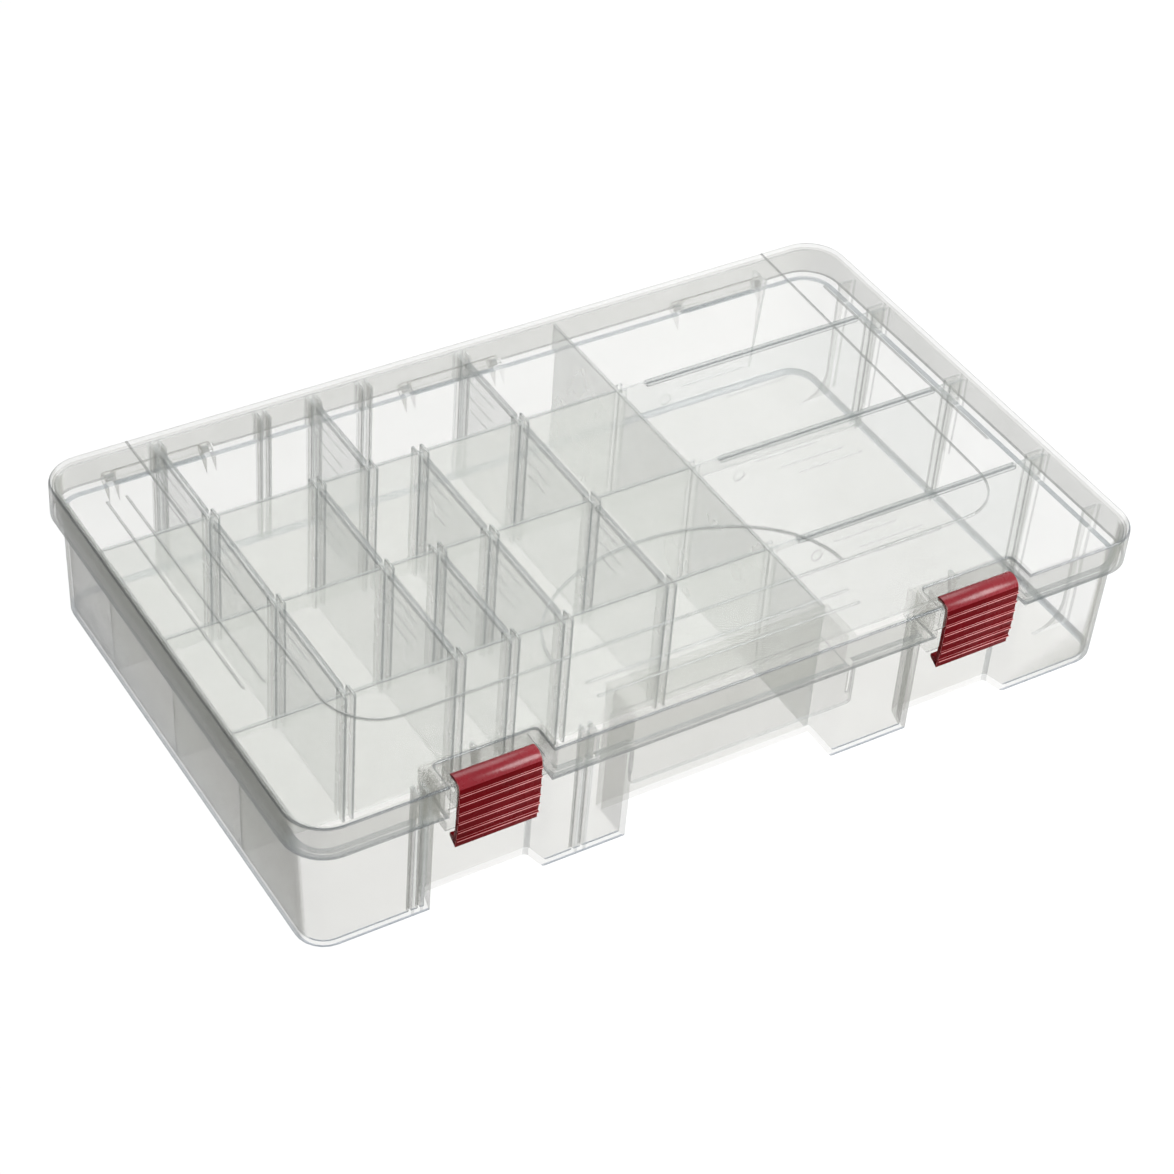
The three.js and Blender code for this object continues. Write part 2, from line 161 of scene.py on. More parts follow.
def pick(piece, kind, test):
    """Opens the piece for editing with only the faces, edges or corners that pass the test."""
    take(piece)
    bpy.ops.object.mode_set(mode="EDIT")
    bpy.ops.mesh.select_mode(type=kind)
    bpy.ops.mesh.select_all(action="DESELECT")
    mesh = bmesh.from_edit_mesh(piece.data)
    parts = {"VERT": mesh.verts, "EDGE": mesh.edges, "FACE": mesh.faces}[kind]
    for part in parts:
        if test(part):
            part.select_set(True)
    mesh.select_flush_mode()
    bmesh.update_edit_mesh(piece.data)


def done():
    bpy.ops.object.mode_set(mode="OBJECT")


def lengthwise(edge):
    """Not along X: the edge's two ends stand at the same x."""
    return abs(edge.verts[0].co.x - edge.verts[1].co.x) < 1e-6


def upright(edge):
    a, b = edge.verts
    return abs(a.co.z - b.co.z) > 0.98 * edge.calc_length()


def level_at(z):
    return lambda edge: all(abs(v.co.z - z * MM) < 1e-5 for v in edge.verts)


def round_edges(piece, test, r, steps=2):
    pick(piece, "EDGE", test)
    bpy.ops.mesh.bevel(offset=r * MM, segments=steps, affect="EDGES")
    done()
    return piece


def shape(piece, other, how):
    """Cuts, welds or trims the piece with the other one, which is used up."""
    take(piece)
    bpy.ops.object.modifier_add(type="BOOLEAN")
    tool = piece.modifiers[-1]
    tool.operation = how
    tool.solver = "EXACT"
    tool.object = other
    bpy.ops.object.modifier_apply(modifier=tool.name)
    bpy.data.objects.remove(other)
    return piece


def cut(piece, *others):
    for other in others:
        shape(piece, other, "DIFFERENCE")
    return piece


def weld(piece, *others):
    for other in others:
        shape(piece, other, "UNION")
    return piece


def gather(pieces):
    """Makes one object of pieces that stand clear of each other."""
    take(*pieces)
    bpy.ops.object.join()
    return bpy.context.object


def copy_of(piece, name, dx=0.0, dy=0.0, dz=0.0):
    take(piece)
    bpy.ops.object.duplicate(linked=False)
    twin = bpy.context.object
    twin.name = name
    bpy.ops.transform.translate(value=(dx * MM, dy * MM, dz * MM))
    return settle(twin)


def smooth(piece, angle=28):
    take(piece)
    bpy.ops.object.shade_smooth_by_angle(angle=math.radians(angle))
    return piece


def narrow(face, width):
    longest = max(edge.calc_length() for edge in face.edges)
    return face.calc_area() / longest < width * MM


def dress(piece, main, *others):
    """The main finish all over, then each other finish on the faces that its test names."""
    piece.data.materials.clear()
    piece.data.materials.append(main)
    for k, (finish, test) in enumerate(others):
        piece.data.materials.append(finish)
        pick(piece, "FACE", test)
        piece.active_material_index = k + 1
        bpy.ops.object.material_slot_assign()
        done()
    return piece


# ---------- finishes ----------

def haze(nodes, links, scale, low, high):
    """A soft uneven value, for clouding that is never quite the same twice."""
    place = nodes.new("ShaderNodeTexCoord")
    cloud = nodes.new("ShaderNodeTexNoise")
    cloud.inputs["Scale"].default_value = scale
    cloud.inputs["Detail"].default_value = 3
    spread = nodes.new("ShaderNodeMapRange")
    spread.inputs["From Min"].default_value = 0.3
    spread.inputs["From Max"].default_value = 0.7
    spread.inputs["To Min"].default_value = low
    spread.inputs["To Max"].default_value = high
    links.new(place.outputs["Object"], cloud.inputs["Vector"])
    links.new(cloud.outputs["Fac"], spread.inputs["Value"])
    return spread.outputs["Result"]


def clear_plastic(name, tint, face_on, aslant, edge_on, roughness, cloudiness=0.015):
    """Clear moulded plastic: open face on, denser aslant, dense edge on, with a painted slate grey shade edge
    on.
    """
    mat = bpy.data.materials.new(name)
    mat.use_nodes = True
    nodes, links = mat.node_tree.nodes, mat.node_tree.links
    shader = nodes["Principled BSDF"]
    shader.inputs["IOR"].default_value = 1.5
    turn = nodes.new("ShaderNodeLayerWeight")
    turn.inputs["Blend"].default_value = 0.5
    depth = nodes.new("ShaderNodeMapRange")
    depth.inputs["From Min"].default_value = 0.76
    depth.inputs["From Max"].default_value = 0.97
    blend = nodes.new("ShaderNodeMix")
    blend.data_type = "RGBA"
    blend.inputs["A"].default_value = (*tint, 1)
    blend.inputs["B"].default_value = (0.04, 0.058, 0.075, 1)
    links.new(turn.outputs["Facing"], depth.inputs["Value"])
    links.new(depth.outputs["Result"], blend.inputs["Factor"])
    links.new(blend.outputs["Result"], shader.inputs["Base Color"])
    density = nodes.new("ShaderNodeValToRGB")
    steps = density.color_ramp.elements
    for place, value in ((0.55, face_on), (0.66, aslant), (0.80, aslant), (0.98, edge_on)):
        step = steps.new(place)
        step.color = (value, value, value, 1)
    steps.remove(steps[0])
    steps.remove(steps[-1])
    links.new(turn.outputs["Facing"], density.inputs["Fac"])
    add = nodes.new("ShaderNodeMath")
    add.operation = "ADD"
    links.new(density.outputs["Color"], add.inputs[0])
    links.new(haze(nodes, links, 38, 0, cloudiness), add.inputs[1])
    links.new(add.outputs["Value"], shader.inputs["Alpha"])
    links.new(haze(nodes, links, 120, roughness * 0.8, roughness * 1.25), shader.inputs["Roughness"])
    wave = nodes.new("ShaderNodeBump")
    wave.inputs["Strength"].default_value = 0.05
    wave.inputs["Distance"].default_value = 0.002
    links.new(haze(nodes, links, 26, 0, 1), wave.inputs["Height"])
    links.new(wave.outputs["Normal"], shader.inputs["Normal"])
    return mat


def burgundy_plastic(name, deep, lit, shine):
    mat = bpy.data.materials.new(name)
    mat.use_nodes = True
    nodes, links = mat.node_tree.nodes, mat.node_tree.links
    shader = nodes["Principled BSDF"]
    blend = nodes.new("ShaderNodeMix")
    blend.data_type = "RGBA"
    blend.inputs["A"].default_value = (*deep, 1)
    blend.inputs["B"].default_value = (*lit, 1)
    links.new(haze(nodes, links, 60, 0, 1), blend.inputs["Factor"])
    links.new(blend.outputs["Result"], shader.inputs["Base Color"])
    links.new(haze(nodes, links, 300, 0.22, 0.32), shader.inputs["Roughness"])
    shader.inputs["IOR"].default_value = 1.5
    shader.inputs["Specular IOR Level"].default_value = shine
    grain = nodes.new("ShaderNodeBump")
    grain.inputs["Strength"].default_value = 0.04
    grain.inputs["Distance"].default_value = 0.0005
    links.new(haze(nodes, links, 900, 0, 1), grain.inputs["Height"])
    links.new(grain.outputs["Normal"], shader.inputs["Normal"])
    return mat


TRAY_CLEAR = clear_plastic("clear tray plastic", (0.16, 0.162, 0.130), 0.085, 0.52, 0.95, 0.2)
FLOOR_CLEAR = clear_plastic("clear tray floor", (0.27, 0.265, 0.222), 0.16, 0.25, 0.5, 0.2)
# Dark blue-grey foot line: painted shade along the tray's rounded foot, where it meets the floor.
FOOT_SHADE = clear_plastic("clear foot edge", (0.10, 0.145, 0.19), 0.50, 0.60, 0.85, 0.15)
WALL_CLEAR = clear_plastic("frosted wall plastic", (0.48, 0.495, 0.465), 0.35, 0.40, 0.6, 0.3, 0.04)
MAIN_CLEAR = clear_plastic("frosted main wall plastic", (0.62, 0.64, 0.605), 0.30, 0.34, 0.6, 0.3, 0.04)
LID_CLEAR = clear_plastic("clear lid plastic", (0.31, 0.315, 0.28), 0.075, 0.15, 0.5, 0.14)
# The lid's sides take a darker copy of the lid plastic: painted shade on the sides.
SKIRT_SHADE = clear_plastic("clear lid side", (0.20, 0.203, 0.172), 0.17, 0.44, 0.95, 0.18)
# Dark ledge: painted shade on the level faces of the step under the rim.
LEDGE_SHADE = clear_plastic("clear ledge", (0.10, 0.13, 0.15), 0.42, 0.5, 0.85, 0.18)
# The lid's raised lines take a darker copy of the lid plastic: painted shade on the lines.
RIDGE_SHADE = clear_plastic("clear raised line", (0.20, 0.215, 0.205), 0.50, 0.65, 0.9, 0.14)
DIVIDER_CLEAR = clear_plastic("hazy divider plastic", (0.42, 0.44, 0.42), 0.16, 0.21, 0.5, 0.3, 0.03)
# Ribs and narrow tops take a denser, darker copy of the clear plastic: painted shade on the ribs.
RIB_SHADE = clear_plastic("clear rib plastic", (0.27, 0.295, 0.29), 0.34, 0.42, 0.75, 0.16)
# Dark slate edge strips: painted shade, standing in for the dark look of clear plastic seen along its edges
# and wall tops.
EDGE_SHADE = clear_plastic("clear plastic edge", (0.045, 0.06, 0.072), 0.58, 0.66, 0.9, 0.12)
BURGUNDY = burgundy_plastic("burgundy plastic", (0.085, 0.0003, 0.0016), (0.112, 0.0005, 0.003), 0.035)
# Lighter red on the barrel's upper faces: a painted highlight.
BARREL_HIGHLIGHT = burgundy_plastic("burgundy barrel", (0.17, 0.008, 0.014), (0.22, 0.012, 0.02), 0.3)
# Pale pinkish red on the ridge crests: a painted highlight.
CREST_HIGHLIGHT = burgundy_plastic("burgundy with painted crest highlight", (0.42, 0.13, 0.13), (0.60, 0.22, 0.22), 0.5)


# ---------- tray ----------

def latch_recess(cx, t, z0, z1):
    """The space cut into the front for a latch, wider at the front, grown by t."""
    piece = block("recess", cx - RECESS_BACK - t, cx + RECESS_BACK + t, -120, RECESS_Y + t, z0, z1)
    slope = (RECESS_FRONT - RECESS_BACK) / (BODY_Y + RECESS_Y)
    wide = RECESS_BACK + t + slope * (120 + RECESS_Y + t)
    pick(piece, "VERT", lambda v: v.co.y < at(0, -119, 0).y)
    bpy.ops.transform.resize(value=(wide / (RECESS_BACK + t), 1, 1), center_override=at(cx, -120, 0))
    done()
    return round_edges(piece, lambda e: upright(e) and e.verts[0].co.y > at(0, -119, 0).y, 1.3, 3)


def rounded_block(name, x, y, z0, z1, r, steps=6):
    return round_edges(block(name, -x, x, -y, y, z0, z1), upright, r, steps)


def draw_in(piece, z):
    """Draws the piece's lower end in by the tray's taper."""
    pick(piece, "VERT", lambda v: v.co.z < z * MM)
    bpy.ops.transform.resize(value=(BODY_TAPER, BODY_TAPER, 1), center_override=at(0, 0, 0))
    done()


def tray_outside():
    body = rounded_block("clear_tray", BODY_X, BODY_Y, 0, STEP_Z, BODY_CORNER_R)
    draw_in(body, 1)
    round_edges(body, level_at(0), FOOT_R, 3)
    for cx in (-LATCH_X, LATCH_X):
        cut(body, latch_recess(cx, 0, -1, STEP_Z + 1))
    cut(body, block("grip", -GRIP_HALF, GRIP_HALF, -120, GRIP_Y, -1, STEP_Z + 1))
    rim = rounded_block("rim", RIM_X, RIM_Y, RIM_BOTTOM_Z, RIM_Z, 13.8)
    round_edges(rim, level_at(RIM_Z), 0.3, 1)
    for cx in (-LATCH_X, LATCH_X):
        cut(rim, block("notch", cx - RIM_NOTCH_HALF, cx + RIM_NOTCH_HALF, -120, RECESS_Y, 40, 70))
    return weld(body, rim)


def tray_room(clear):
    """The hollow of the tray, drawn in by the clearance."""
    t = WALL_T + clear
    floor_z, step_z = FLOOR_T + clear, STEP_Z + clear
    low = rounded_block("room", BODY_X - t, BODY_Y - t, floor_z, step_z + 0.2, BODY_CORNER_R - t)
    draw_in(low, FLOOR_T + 1)
    round_edges(low, level_at(floor_z), 1.6, 3)
    high = rounded_block("high", RIM_X - RIM_T - clear, RIM_Y - RIM_T - clear, step_z, 70, 12.5)
    half = RIM_NOTCH_HALF + RIM_T + clear
    for cx in (-LATCH_X, LATCH_X):
        cut(low, latch_recess(cx, t, -2, 55))
        cut(high, block("notch", cx - half, cx + half, -120, RECESS_Y + RIM_T + clear, 40, 80))
    weld(low, high)
    grip = GRIP_HALF + t
    return cut(low, block("grip", -grip, grip, -120, GRIP_Y + t, -2, 80))


def rib(x0, x1, y0, y1):
    piece = block("rib", x0, x1, y0, y1, 0.9, RIB_Z)
    return round_edges(piece, lambda e: True, 0.28, 1)


def slot_at_x(x, y0, y1):
    near, far = SLOT_GAP / 2, SLOT_GAP / 2 + RIB_T
    return [rib(x - far, x - near, y0, y1), rib(x + near, x + far, y0, y1)]


def slot_at_y(y, x0, x1):
    near, far = SLOT_GAP / 2, SLOT_GAP / 2 + RIB_T
    return [rib(x0, x1, y - far, y - near), rib(x0, x1, y + near, y + far)]


def outer_slots():
    back = BODY_Y - WALL_T - 0.6
    right = BODY_X - WALL_T - 0.6
    ribs = []
    for x in SLOT_X:
        ribs += slot_at_x(x, back - RIB_OUT, 110)
    for x in FRONT_SLOT_X:
        ribs += slot_at_x(x, -110, -back + RIB_OUT)
    for y in ROW_Y:
        ribs += slot_at_y(y, right - LONG_RIB_OUT, 178)
    return ribs


def corner_gussets():
    """Curved stiffeners that run down the right-hand end wall on to the floor."""
    face, r = BODY_X - WALL_T - 4, 13
    piece = block("gusset", face - r, 178, 80.2, 81.8, 0.9, RIM_Z - 2)
    cut(piece, block("cutter", face - r - 5, face, 70, 90, FLOOR_T + r, 70))
    take()
    bpy.ops.mesh.primitive_cylinder_add(
        vertices=32, radius=r * MM, depth=0.03, location=at(face - r, 81, FLOOR_T + r),
        rotation=(math.pi / 2, 0, 0))
    cut(piece, settle(bpy.context.object))
    return [piece, copy_of(piece, "gusset", 0, -165, 0)]


def wall_gussets():
    """Small wedges behind the latch recesses and on the back wall."""
    out = []
    y = RECESS_Y + WALL_T - 0.3
    for cx in (-LATCH_X, LATCH_X):
        wedge = block("wedge", cx - 0.7, cx + 0.7, y - 1, y + 6, 30, 58)
        pick(wedge, "VERT", lambda v: v.co.y > at(0, y + 5, 0).y and v.co.z < 0.04)
        bpy.ops.transform.translate(value=(0, -5.9 * MM, 0))
        done()
        out.append(wedge)
    face = BODY_Y - WALL_T
    wedge = block("wedge", 142.3, 143.7, face - 5.5, 110, 6, 58)
    pick(wedge, "VERT", lambda v: v.co.y < at(0, face, 0).y and v.co.z < 0.01)
    bpy.ops.transform.translate(value=(0, 5.4 * MM, 0))
    done()
    return out + [wedge]


def catches():
    out = []
    for cx in (-LATCH_X, LATCH_X):
        piece = block("catch", cx - 17.3, cx + 17.3, -103.4, RECESS_Y + 0.5, 35.2, 40)
        lip = at(0, -103, 0).y
        round_edges(piece, lambda e: level_at(35.2)(e) and all(v.co.y < lip for v in e.verts), 1.3, 2)
        out.append(piece)
    return out


def grip_panel():
    """The plate that hangs in front of the finger space, with its two short side returns."""
    y0 = -RIM_Y
    face = block("panel", -47.5, 47.5, y0, y0 + 1.5, 30, STEP_Z)
    round_edges(face, lambda e: all(v.co.z < 0.031 for v in e.verts) and lengthwise(e), 1.8, 3)
    left = block("return", -47.3, -45.8, y0 + 0.3, -BODY_Y + 0.6, 34, STEP_Z - 0.5)
    return [weld(face, left, copy_of(left, "return", 93.1))]


def hinge_cheeks():
    out = []
    for cx in HINGE_X:
        for side in (-1, 1):
            x0 = min(cx + side * HINGE_HALF, cx + side * (HINGE_HALF - LUG_T))
            low = HINGE_Z - HINGE_R - 5
            neck = block("cheek", x0, x0 + LUG_T, BODY_Y - 0.6, HINGE_Y, low, HINGE_Z + 1.6)
            tip, under = at(0, HINGE_Y - 1, 0).y, (HINGE_Z - 4) * MM
            pick(neck, "VERT", lambda v: v.co.y > tip and v.co.z < under)
            bpy.ops.transform.translate(value=(0, 0, 5 * MM))
            done()
            eye = rod("eye", HINGE_R, x0, x0 + LUG_T, HINGE_Y, HINGE_Z, 28)
            round_edges(eye, lengthwise, 0.25, 1)
            weld(neck, eye)
            cut(neck, rod("bore", 1.6, x0 - 1, x0 + LUG_T + 1, HINGE_Y, HINGE_Z))
            out.append(neck)
    return out


def clear_tray(room):
    tray = tray_outside()
    inside = gather(outer_slots() + corner_gussets() + wall_gussets())
    outer = copy_of(tray, "outer")
    cut(outer, block("lid room", -200, 200, -130, 130, RIM_Z - 0.4, 70))
    shape(inside, outer, "INTERSECT")
    cut(tray, copy_of(room, "hollow"))
    weld(tray, inside)
    side = GRIP_HALF - 0.4
    cut(tray, block("pocket", -side, side, -104.1, GRIP_Y - 0.4, RIM_BOTTOM_Z - 1, 60.4))
    weld(tray, gather(grip_panel() + catches() + hinge_cheeks()))
    return tray


# ---------- inner walls ----------

def inner_wall(name, wall, ribs, room):
    """Rounds the wall's top, adds its slot ribs and trims it all to the tray's hollow."""
    round_edges(wall, level_at(INNER_Z), 0.3, 2)
    weld(wall, gather(ribs))
    shape(wall, copy_of(room, "trim"), "INTERSECT")
    wall.name = name
    return wall


def row_wall(i, room):
    y, half = ROW_Y[i], INNER_T / 2
    wall = block("wall", -178, MAIN_WALL_X - half - 0.06, y - half, y + half, 0, INNER_Z)
    ribs = []
    for x in SLOT_X:
        ribs += slot_at_x(x, y - half - RIB_OUT, y + half + RIB_OUT)
    return inner_wall("row_wall_%d_clear" % (i + 1), wall, ribs, room)


def long_wall(room):
    half = INNER_T / 2
    wall = block("wall", MAIN_WALL_X - half, MAIN_WALL_X + half, -110, 110, 0, INNER_Z)
    ribs = []
    for y in ROW_Y:
        ribs += slot_at_y(y, MAIN_WALL_X + half - 0.3, MAIN_WALL_X + half + RIB_OUT)
    return inner_wall("main_wall_clear", wall, ribs, room)


# ---------- dividers ----------

SHORT_MARKS = ((54.3, 5.0, 26), (47.0, 5.8, 25), (41.0, 8.5, 21.5))
LONG_MARKS = ((53.6, 29, 58), (46.3, 42, 71), (40.7, 51, 81.5))
RING_R = 2.6


def divider_marks(flat_x, u, way, w, lines, ring):
    """Three raised lines and a ring on the face at w, measured from the end at u."""
    out = []
    for z, start, stop in lines:
        a, b = sorted((u + way * start, u + way * stop))
        span = (w - 0.35, w + 0.5, a, b) if flat_x else (a, b, w - 0.35, w + 0.5)
        line = block("line", *span, z - 0.4, z + 0.4)
        out.append(round_edges(line, lambda e: True, 0.15, 1))
    take()
    place = at(w, u + way * ring, 49.4) if flat_x else at(u + way * ring, w, 49.4)
    turn = (0, math.pi / 2, 0) if flat_x else (math.pi / 2, 0, 0)
    bpy.ops.mesh.primitive_cylinder_add(
        vertices=24, radius=RING_R * MM, depth=0.7 * MM, location=place, rotation=turn)
    dimple = settle(bpy.context.object)
    axis = 0 if flat_x else 1
    pick(dimple, "FACE", lambda f: abs(f.normal[axis]) > 0.9)
    bpy.ops.mesh.inset(thickness=0.6 * MM)
    bpy.ops.transform.resize(value=(0.5, 1, 1) if flat_x else (1, 0.5, 1), center_override=place)
    done()
    return out + [dimple]


def short_divider(row):
    """A short divider in its row's first slot; the back row's end follows the rim step."""
    x = SLOT_X[SHORT_ROWS[row][0]]
    y0 = ROW_Y[row - 1] + INNER_T / 2 + PLAY
    y1 = (BODY_Y - WALL_T - 0.7 if row == 1 else ROW_Y[row - 2] - INNER_T / 2) - PLAY
    top = RIM_Y - RIM_T - PLAY if row == 1 else y1
    z0, half = FLOOR_T + PLAY, DIVIDER_T / 2
    sheet = block("divider", x - half, x + half, y0, y1, z0, DIVIDER_Z)
    if row == 1:
        pick(sheet, "FACE", lambda f: True)
        bpy.ops.mesh.bisect(plane_co=at(x, y0, STEP_Z + 2), plane_no=(0, 0, 1))
        pick(sheet, "FACE", lambda f: f.normal.y > 0.9 and f.calc_center_median().z > STEP_Z * MM)
        bpy.ops.mesh.extrude_region_move(TRANSFORM_OT_translate={"value": (0, (top - y1) * MM, 0)})
        done()
    round_edges(sheet, lambda e: upright(e) and e.calc_length() > 0.005, 0.25, 1)
    near, wide = RIB_OUT + 0.6, DIVIDER_TOP_T / 2
    bar = block("bar", x - wide, x + wide, y0 + near, y1 - near, DIVIDER_Z - 1.7, DIVIDER_Z + 0.1)
    round_edges(bar, lambda e: True, 0.45, 2)
    weld(sheet, bar)
    return weld(sheet, gather(divider_marks(True, y1, -1, x - half, SHORT_MARKS, 3.2)))


def long_divider():
    """A long divider across the right-hand section, in the back slot."""
    y = ROW_Y[0]
    x0 = MAIN_WALL_X + INNER_T / 2 + PLAY
    x1 = BODY_X - WALL_T - 1.1 - PLAY
    top = RIM_X - RIM_T - PLAY
    z0, half = FLOOR_T + PLAY, DIVIDER_T / 2
    sheet = block("divider", x0, x1, y - half, y + half, z0, DIVIDER_Z)
    weld(sheet, block("end", x1 - 1, top, y - half, y + half, STEP_Z + 2, DIVIDER_Z))
    wide = DIVIDER_TOP_T / 2
    bar = block("bar", x0 + 12, x1 - 10, y - wide, y + wide, DIVIDER_Z - 1.9, DIVIDER_Z + 0.1)
    round_edges(bar, lambda e: True, 0.45, 2)
    weld(sheet, bar)
    return weld(sheet, gather(divider_marks(False, x0, 1, y - half, LONG_MARKS, 21.8)))


# ---------- lid ----------

def lid_cover():
    cover = rounded_block("clear_lid", LID_X, LID_Y, SKIRT_Z, LID_TOP_Z, LID_CORNER_R, 10)
    for cx in (-LATCH_X, LATCH_X):
        notch = block("notch", cx - NOTCH_HALF, cx + NOTCH_HALF, -120, NOTCH_Y, 40, 80)
        cut(cover, round_edges(notch, upright, 1.5, 3))
    round_edges(cover, level_at(LID_TOP_Z), LID_EDGE_R, 4)
    t, under = SKIRT_T, LID_TOP_Z - LID_T
    hollow = rounded_block("hollow", LID_X - t, LID_Y - t, SKIRT_Z - 1, under, LID_CORNER_R - t, 10)
    for cx in (-LATCH_X, LATCH_X):
        half = NOTCH_HALF + t
        cut(hollow, block("notch", cx - half, cx + half, -120, NOTCH_Y + t, 40, 80))
    cut(cover, hollow)
    gaps = []
    for cx in HINGE_X:
        for side in (-1, 1):
            mid, half = cx + side * (HINGE_HALF - LUG_T / 2), LUG_T / 2 + PLAY
            top = HINGE_Z + HINGE_R + 0.9
            gaps.append(block("gap", mid - half, mid + half, 107, 111, SKIRT_Z - 1, top))
    return cut(cover, gather(gaps))


def raised_frame():
    """The three-sided line moulded on the lid, open at the back."""
    z0, z1 = LID_TOP_Z - RIDGE_DIP, LID_TOP_Z + RIDGE_H
    x0, x1, y0 = FRAME_LEFT, FRAME_RIGHT, FRAME_FRONT
    frame_line = block("frame", x0, x1, y0, 108.6, z0, z1)
    round_edges(frame_line, lambda e: upright(e) and e.verts[0].co.y < 0, 22, 8)
    round_edges(frame_line, level_at(z1), 0.3, 1)
    inner = block("inner", x0 + RIDGE_W, x1 - RIDGE_W, y0 + RIDGE_W, 120, z0 - 1, z1 + 1)
    round_edges(inner, lambda e: upright(e) and e.verts[0].co.y < 0, 21, 8)
    cut(frame_line, inner)
    pick(frame_line, "VERT", lambda v: v.co.x > 0.1 and v.co.y > 0.09)
    bpy.ops.transform.translate(value=(4.8 * MM, 0, 0))
    done()
    return frame_line


def oval_disc(grow, z, tall):
    take()
    bpy.ops.mesh.primitive_cylinder_add(
        vertices=72, radius=1, depth=1, location=at(OVAL_X, OVAL_Y, z))
    disc = bpy.context.object
    disc.scale = ((OVAL_LONG + grow) * MM, (OVAL_SHORT + grow) * MM, tall * MM)
    return settle(disc)


def raised_oval():
    """Half of an oval ring rising from the front line."""
    ring = oval_disc(0.5, LID_TOP_Z + (RIDGE_H - RIDGE_DIP) / 2, RIDGE_H + RIDGE_DIP)
    cut(ring, oval_disc(-0.5, LID_TOP_Z, 6))
    return cut(ring, block("lower", -70, 70, -130, -72.0, 60, 70))


def short_ridge(x0, x1, y0, y1):
    top = LID_TOP_Z + RIDGE_H * 0.8
    piece = block("ridge", x0, x1, y0, y1, LID_TOP_Z - RIDGE_DIP, top)
    return round_edges(piece, level_at(top), 0.3, 1)


def latch_ears(cx):
    """Clear cheeks either side of a latch, each with its stub pin."""
    out = []
    for side in (-1, 1):
        a, b = sorted((cx + side * (LATCH_HALF + PLAY), cx + side * (NOTCH_HALF + 0.3)))
        ear = block("ear", a, b, -109.4, NOTCH_Y + 0.4, 50.6, 62.4)
        round_edges(ear, lambda e: level_at(50.6)(e) and not lengthwise(e), 3.4, 5)
        round_edges(ear, lengthwise, 0.22, 1)
        p, q = sorted((cx + side * (LATCH_HALF - 8), cx + side * (NOTCH_HALF + 0.2)))
        out.append(weld(ear, rod("stub", 1.5, p, q, PIVOT_Y, PIVOT_Z, 20)))
    return out


def hinge_barrels():
    out = []
    half = HINGE_HALF - LUG_T - PLAY
    for cx in HINGE_X:
        barrel = rod("barrel", HINGE_R, cx - half, cx + half, HINGE_Y, HINGE_Z, 32)
        round_edges(barrel, lengthwise, 0.3, 2)
        web = block("web", cx - half, cx + half, LID_Y - SKIRT_T, HINGE_Y + 0.5, HINGE_Z, 51)
        pick(web, "VERT", lambda v: v.co.y > at(0, HINGE_Y, 0).y and v.co.z > 0.05)
        bpy.ops.transform.translate(value=(0, -1.1 * MM, 0))
        done()
        weld(barrel, web, rod("pin", 1.2, cx - half - 3.4, cx + half + 3.4, HINGE_Y, HINGE_Z, 20))
        out.append(barrel)
    return out


def clear_lid():
    lid = lid_cover()
    marks = [raised_frame()]
    for x, y0, y1 in SIDE_RIDGES:
        marks.append(short_ridge(x, x + 1, y0, y1))
    for y in FRONT_RIDGE_Y:
        marks.append(short_ridge(*FRONT_RIDGE_X, y, y + 1))
    weld(lid, gather(marks), raised_oval())
    weld(lid, gather(latch_ears(-LATCH_X) + latch_ears(LATCH_X) + hinge_barrels()))
    return lid


# ---------- latches ----------

def latch_sheet(cx):
    """The curved plate: a flat sheet, its top edge spun over, its foot drawn back into a hook."""
    front, back = ROLL_Y - ROLL_R, ROLL_Y - ROLL_R + LATCH_T
    sheet = block("latch", cx - LATCH_HALF, cx + LATCH_HALF, front, back, 45, ROLL_Z)
    pick(sheet, "FACE", lambda f: f.normal.z > 0.9)
    bpy.ops.mesh.spin(steps=12, angle=math.radians(125), center=at(cx, ROLL_Y, ROLL_Z), axis=(1, 0, 0))
    done()
    pick(sheet, "FACE", lambda f: f.normal.z < -0.9 and f.calc_center_median().z < 0.0451)
    for dy, dz in LATCH_FOOT:
        bpy.ops.mesh.extrude_region_move(TRANSFORM_OT_translate={"value": (0, dy * MM, dz * MM)})
    done()
    hook = block("hook", cx - LATCH_HALF, cx + LATCH_HALF, -108.0, -103.9, 31.7, 36.2)
    pick(hook, "VERT", lambda v: v.co.y > at(0, -104, 0).y)
    bpy.ops.transform.resize(value=(1, 1, 0.28), center_override=at(cx, -104, 35.2))
    done()
    return weld(sheet, hook)


def latch_ridge(cx, z):
    low = max(0, (45 - z) / 13)
    y = ROLL_Y - ROLL_R + low ** 1.5
    piece = block("ridge", cx - LATCH_HALF, cx + LATCH_HALF, y - 0.6, y + 0.5, z - 0.5, z + 0.55)
    pick(piece, "VERT", lambda v: v.co.y < at(0, y, 0).y)
    bpy.ops.transform.resize(value=(1, 1, 0.3), center_override=at(cx, y, z - 0.1))
    done()
    return piece


def latch_webs(cx):
    out = []
    for side in (-1, 1):
        a, b = sorted((cx + side * (LATCH_HALF - 5), cx + side * (LATCH_HALF - 7.5)))
        web = rod("web", 3, a, b, PIVOT_Y, PIVOT_Z, 28)
        weld(web, block("foot", a, b, -108.4, PIVOT_Y, 54, PIVOT_Z))
        cut(web, rod("bore", 1.9, a - 1, b + 1, PIVOT_Y, PIVOT_Z))
        out.append(web)
    return out


def red_latch(name, cx):
    latch = latch_sheet(cx)
    weld(latch, gather([latch_ridge(cx, z) for z in LATCH_RIDGE_Z]))
    weld(latch, gather(latch_webs(cx)))
    take(latch)
    bpy.ops.object.modifier_add(type="BEVEL")
    soft = latch.modifiers[-1]
    soft.width = 0.16 * MM
    soft.segments = 2
    soft.limit_method = "ANGLE"
    soft.angle_limit = math.radians(35)
    bpy.ops.object.modifier_apply(modifier=soft.name)
    latch.name = name
    return smooth(latch, 40)


# ---------- assembly ----------

